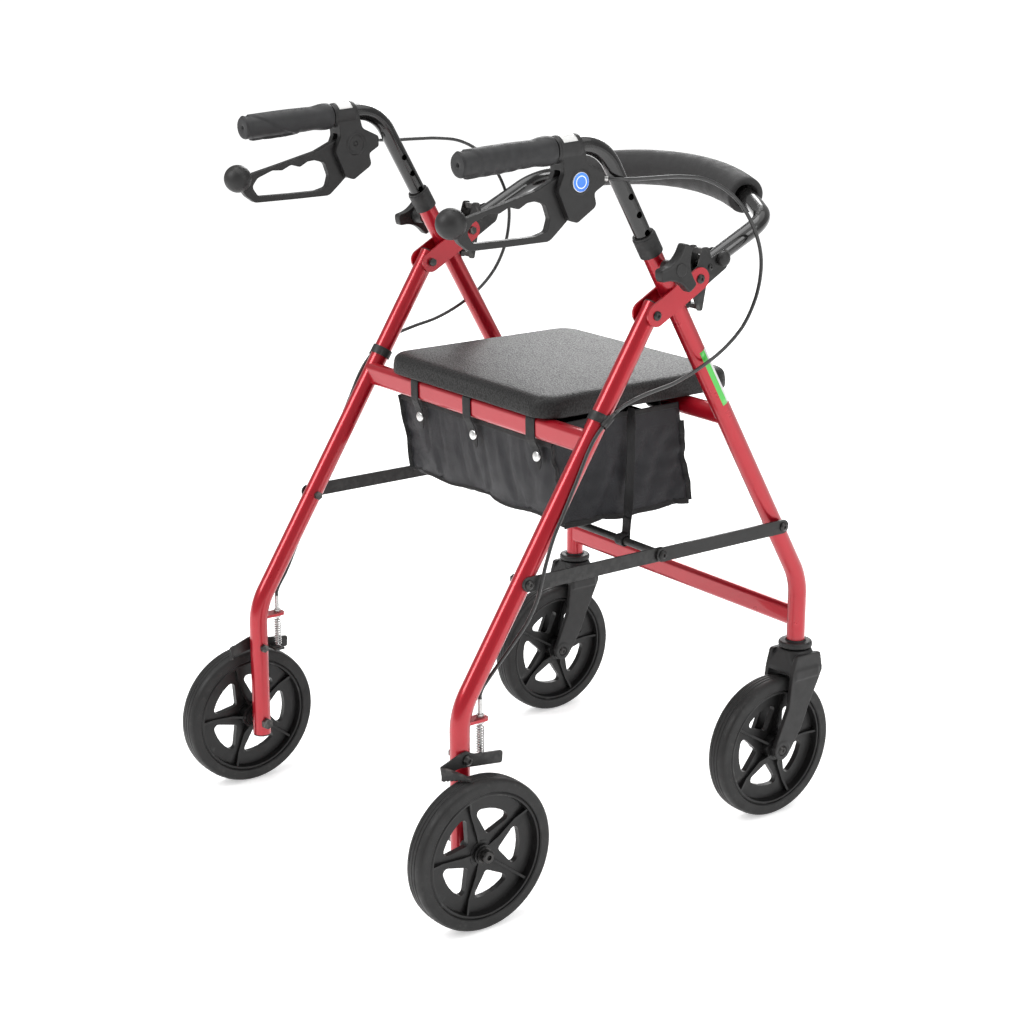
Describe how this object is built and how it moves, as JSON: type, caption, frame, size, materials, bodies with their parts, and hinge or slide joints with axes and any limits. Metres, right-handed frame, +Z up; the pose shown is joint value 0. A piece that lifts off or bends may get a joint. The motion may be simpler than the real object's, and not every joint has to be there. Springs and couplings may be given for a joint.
{
  "type": "rollator walker",
  "caption": "Folding four-wheeled walking frame with a padded seat, curved backrest, hand brakes, swivelling front casters and an under-seat bag.",
  "frame": {"origin": "centre of the bounding box's bottom face, on the floor", "axes": "-Y is the direction of travel, +X is the user's left, +Z is up"},
  "size_m": [0.6202, 0.724, 0.9664],
  "materials": {
    "red_paint": "gloss",
    "black_tube": "gloss",
    "black_steel": "satin",
    "black_plastic": "matte",
    "rim_plastic": "satin",
    "tyre": "matte",
    "zinc": "satin",
    "grip_foam": "matte",
    "backrest_foam": "matte",
    "seat_pad": "pebbled",
    "bag_fabric": "woven nylon",
    "webbing": "woven",
    "cable_sheath": "gloss",
    "badge": "gloss",
    "black_bolts": "black oxide"
  },
  "bodies": {
    "front_frame": {"front_leg_right": "red_paint", "front_leg_left": "red_paint", "lower_crossbar": "red_paint", "upper_crossbar": "red_paint", "hinge_plates": "red_paint", "tube_collars": "black_plastic", "front_frame_bolts": "black_bolts", "caster_stems": "zinc", "stem_caps": "black_plastic", "bag": "bag_fabric", "fold_strap": "webbing", "brake_cable_right": "cable_sheath", "brake_cable_left": "cable_sheath"},
    "rear_frame": {"rear_leg_right": "red_paint", "rear_leg_left": "red_paint", "rear_crossbar": "red_paint", "leg_plugs": "black_plastic", "cable_barrels": "zinc", "rear_axles": "zinc", "rear_frame_bolts": "black_bolts", "cable_clips": "black_plastic", "brake_springs": "zinc", "bag_loops": "webbing"},
    "front_links": {"front_links": "black_steel"},
    "rear_links": {"rear_links": "black_steel", "link_rod": "black_steel"},
    "rear_wheel_right": {"rear_rim_right": "rim_plastic", "rear_tyre_right": "tyre"},
    "caster_right": {"caster_fork_right": "black_plastic", "caster_axle_right": "black_bolts"},
    "caster_wheel_right": {"caster_rim_right": "rim_plastic", "caster_tyre_right": "tyre"},
    "handle_right": {"handle_tube_right": "black_tube", "grip_right": "grip_foam", "brake_housing_right": "black_plastic", "cable_adjuster_right": "zinc", "pivot_badge": "badge"},
    "brake_lever_right": {"brake_lever_right": "black_plastic"},
    "brake_arm_right": {"brake_arm_right": "black_steel"},
    "height_knob_right": {"height_knob_right": "black_plastic"},
    "backrest_pin_right": {"backrest_pin_right": "black_plastic"},
    "rear_wheel_left": {"rear_rim_left": "rim_plastic", "rear_tyre_left": "tyre"},
    "caster_left": {"caster_fork_left": "black_plastic", "caster_axle_left": "black_bolts"},
    "caster_wheel_left": {"caster_rim_left": "rim_plastic", "caster_tyre_left": "tyre"},
    "handle_left": {"handle_tube_left": "black_tube", "grip_left": "grip_foam", "brake_housing_left": "black_plastic", "cable_adjuster_left": "zinc"},
    "brake_lever_left": {"brake_lever_left": "black_plastic"},
    "brake_arm_left": {"brake_arm_left": "black_steel"},
    "height_knob_left": {"height_knob_left": "black_plastic"},
    "backrest_pin_left": {"backrest_pin_left": "black_plastic"},
    "backrest": {"backrest_tube": "black_tube", "backrest_foam": "backrest_foam", "backrest_brackets": "black_steel"},
    "seat": {"seat": "seat_pad", "seat_clips": "black_plastic"}
  },
  "joints": [
    {"name": "fold", "type": "hinge", "parent": "front_frame", "child": "rear_frame", "pos_m": [0, -0.03, 0.735], "axis": [-1, 0, 0], "range_deg": [0, 34], "deforming": ["bag", "fold_strap", "brake_cable_right", "brake_cable_left", "bag_loops"]},
    {"name": "front_link_fold", "type": "hinge", "parent": "front_frame", "child": "front_links", "pos_m": [0, -0.256, 0.4225], "axis": [1, 0, 0], "range_deg": [0, 43.6]},
    {"name": "rear_link_fold", "type": "hinge", "parent": "rear_frame", "child": "rear_links", "pos_m": [0, 0.167, 0.4225], "axis": [-1, 0, 0], "range_deg": [0, 39.2]},
    {"name": "rear_wheel_spin_right", "type": "hinge", "parent": "rear_frame", "child": "rear_wheel_right", "pos_m": [-0.2886, 0.262, 0.1], "axis": [1, 0, 0], "continuous": true},
    {"name": "caster_swivel_right", "type": "hinge", "parent": "front_frame", "child": "caster_right", "pos_m": [-0.248, -0.306, 0.22], "axis": [0, 0, 1], "continuous": true},
    {"name": "caster_wheel_spin_right", "type": "hinge", "parent": "caster_right", "child": "caster_wheel_right", "pos_m": [-0.248, -0.262, 0.1], "axis": [1, 0, 0], "continuous": true},
    {"name": "handle_height_right", "type": "slide", "parent": "front_frame", "child": "handle_right", "axis": [0, 0.4983, 0.867], "range_m": [-0.0534, 0.0534], "deforming": ["brake_cable_right"]},
    {"name": "brake_lever_right_squeeze", "type": "hinge", "parent": "handle_right", "child": "brake_lever_right", "pos_m": [-0.248, 0.0915, 0.9096], "axis": [1, 0, 0], "range_deg": [0, 9.5], "stiffness_Nm_per_rad": 2, "springref_deg": -20.05},
    {"name": "brake_arm_right_press", "type": "hinge", "parent": "rear_frame", "child": "brake_arm_right", "pos_m": [-0.2625, 0.262, 0.214], "axis": [-1, 0, 0], "range_deg": [0, 3.6], "stiffness_Nm_per_rad": 1.5, "springref_deg": -11.46, "deforming": ["brake_springs"]},
    {"name": "height_knob_right_turn", "type": "hinge", "parent": "front_frame", "child": "height_knob_right", "pos_m": [-0.27, -0.04154, 0.795], "axis": [1, 0, 0], "continuous": true},
    {"name": "rear_wheel_spin_left", "type": "hinge", "parent": "rear_frame", "child": "rear_wheel_left", "pos_m": [0.2886, 0.262, 0.1], "axis": [1, 0, 0], "continuous": true},
    {"name": "caster_swivel_left", "type": "hinge", "parent": "front_frame", "child": "caster_left", "pos_m": [0.248, -0.306, 0.22], "axis": [0, 0, 1], "continuous": true},
    {"name": "caster_wheel_spin_left", "type": "hinge", "parent": "caster_left", "child": "caster_wheel_left", "pos_m": [0.248, -0.262, 0.1], "axis": [1, 0, 0], "continuous": true},
    {"name": "handle_height_left", "type": "slide", "parent": "front_frame", "child": "handle_left", "axis": [0, 0.4983, 0.867], "range_m": [-0.0534, 0.0534], "deforming": ["brake_cable_left"]},
    {"name": "brake_lever_left_squeeze", "type": "hinge", "parent": "handle_left", "child": "brake_lever_left", "pos_m": [0.248, 0.0915, 0.9096], "axis": [1, 0, 0], "range_deg": [0, 9.5], "stiffness_Nm_per_rad": 2, "springref_deg": -20.05},
    {"name": "brake_arm_left_press", "type": "hinge", "parent": "rear_frame", "child": "brake_arm_left", "pos_m": [0.2625, 0.262, 0.214], "axis": [-1, 0, 0], "range_deg": [0, 3.6], "stiffness_Nm_per_rad": 1.5, "springref_deg": -11.46, "deforming": ["brake_springs"]},
    {"name": "height_knob_left_turn", "type": "hinge", "parent": "front_frame", "child": "height_knob_left", "pos_m": [0.27, -0.04154, 0.795], "axis": [1, 0, 0], "continuous": true},
    {"name": "backrest_tilt", "type": "hinge", "parent": "front_frame", "child": "backrest", "pos_m": [0, -0.1, 0.774], "axis": [-1, 0, 0], "range_deg": [0, 70]},
    {"name": "backrest_pin_right_pull", "type": "slide", "parent": "backrest", "child": "backrest_pin_right", "axis": [-1, 0, 0], "range_m": [0, 0.005], "stiffness_N_per_m": 400, "springref_m": -0.004},
    {"name": "backrest_pin_left_pull", "type": "slide", "parent": "backrest", "child": "backrest_pin_left", "axis": [1, 0, 0], "range_m": [0, 0.005], "stiffness_N_per_m": 400, "springref_m": -0.004},
    {"name": "seat_lift", "type": "hinge", "parent": "front_frame", "child": "seat", "pos_m": [0, -0.1617, 0.586], "axis": [1, 0, 0], "range_deg": [0, 88]}
  ],
  "couplings": [
    {"joint": "front_link_fold", "follows": "fold", "ratio": 1.2806},
    {"joint": "rear_link_fold", "follows": "fold", "ratio": 1.1518},
    {"joint": "brake_arm_right_press", "follows": "brake_lever_right_squeeze", "ratio": 0.37},
    {"joint": "brake_arm_left_press", "follows": "brake_lever_left_squeeze", "ratio": 0.37}
  ]
}
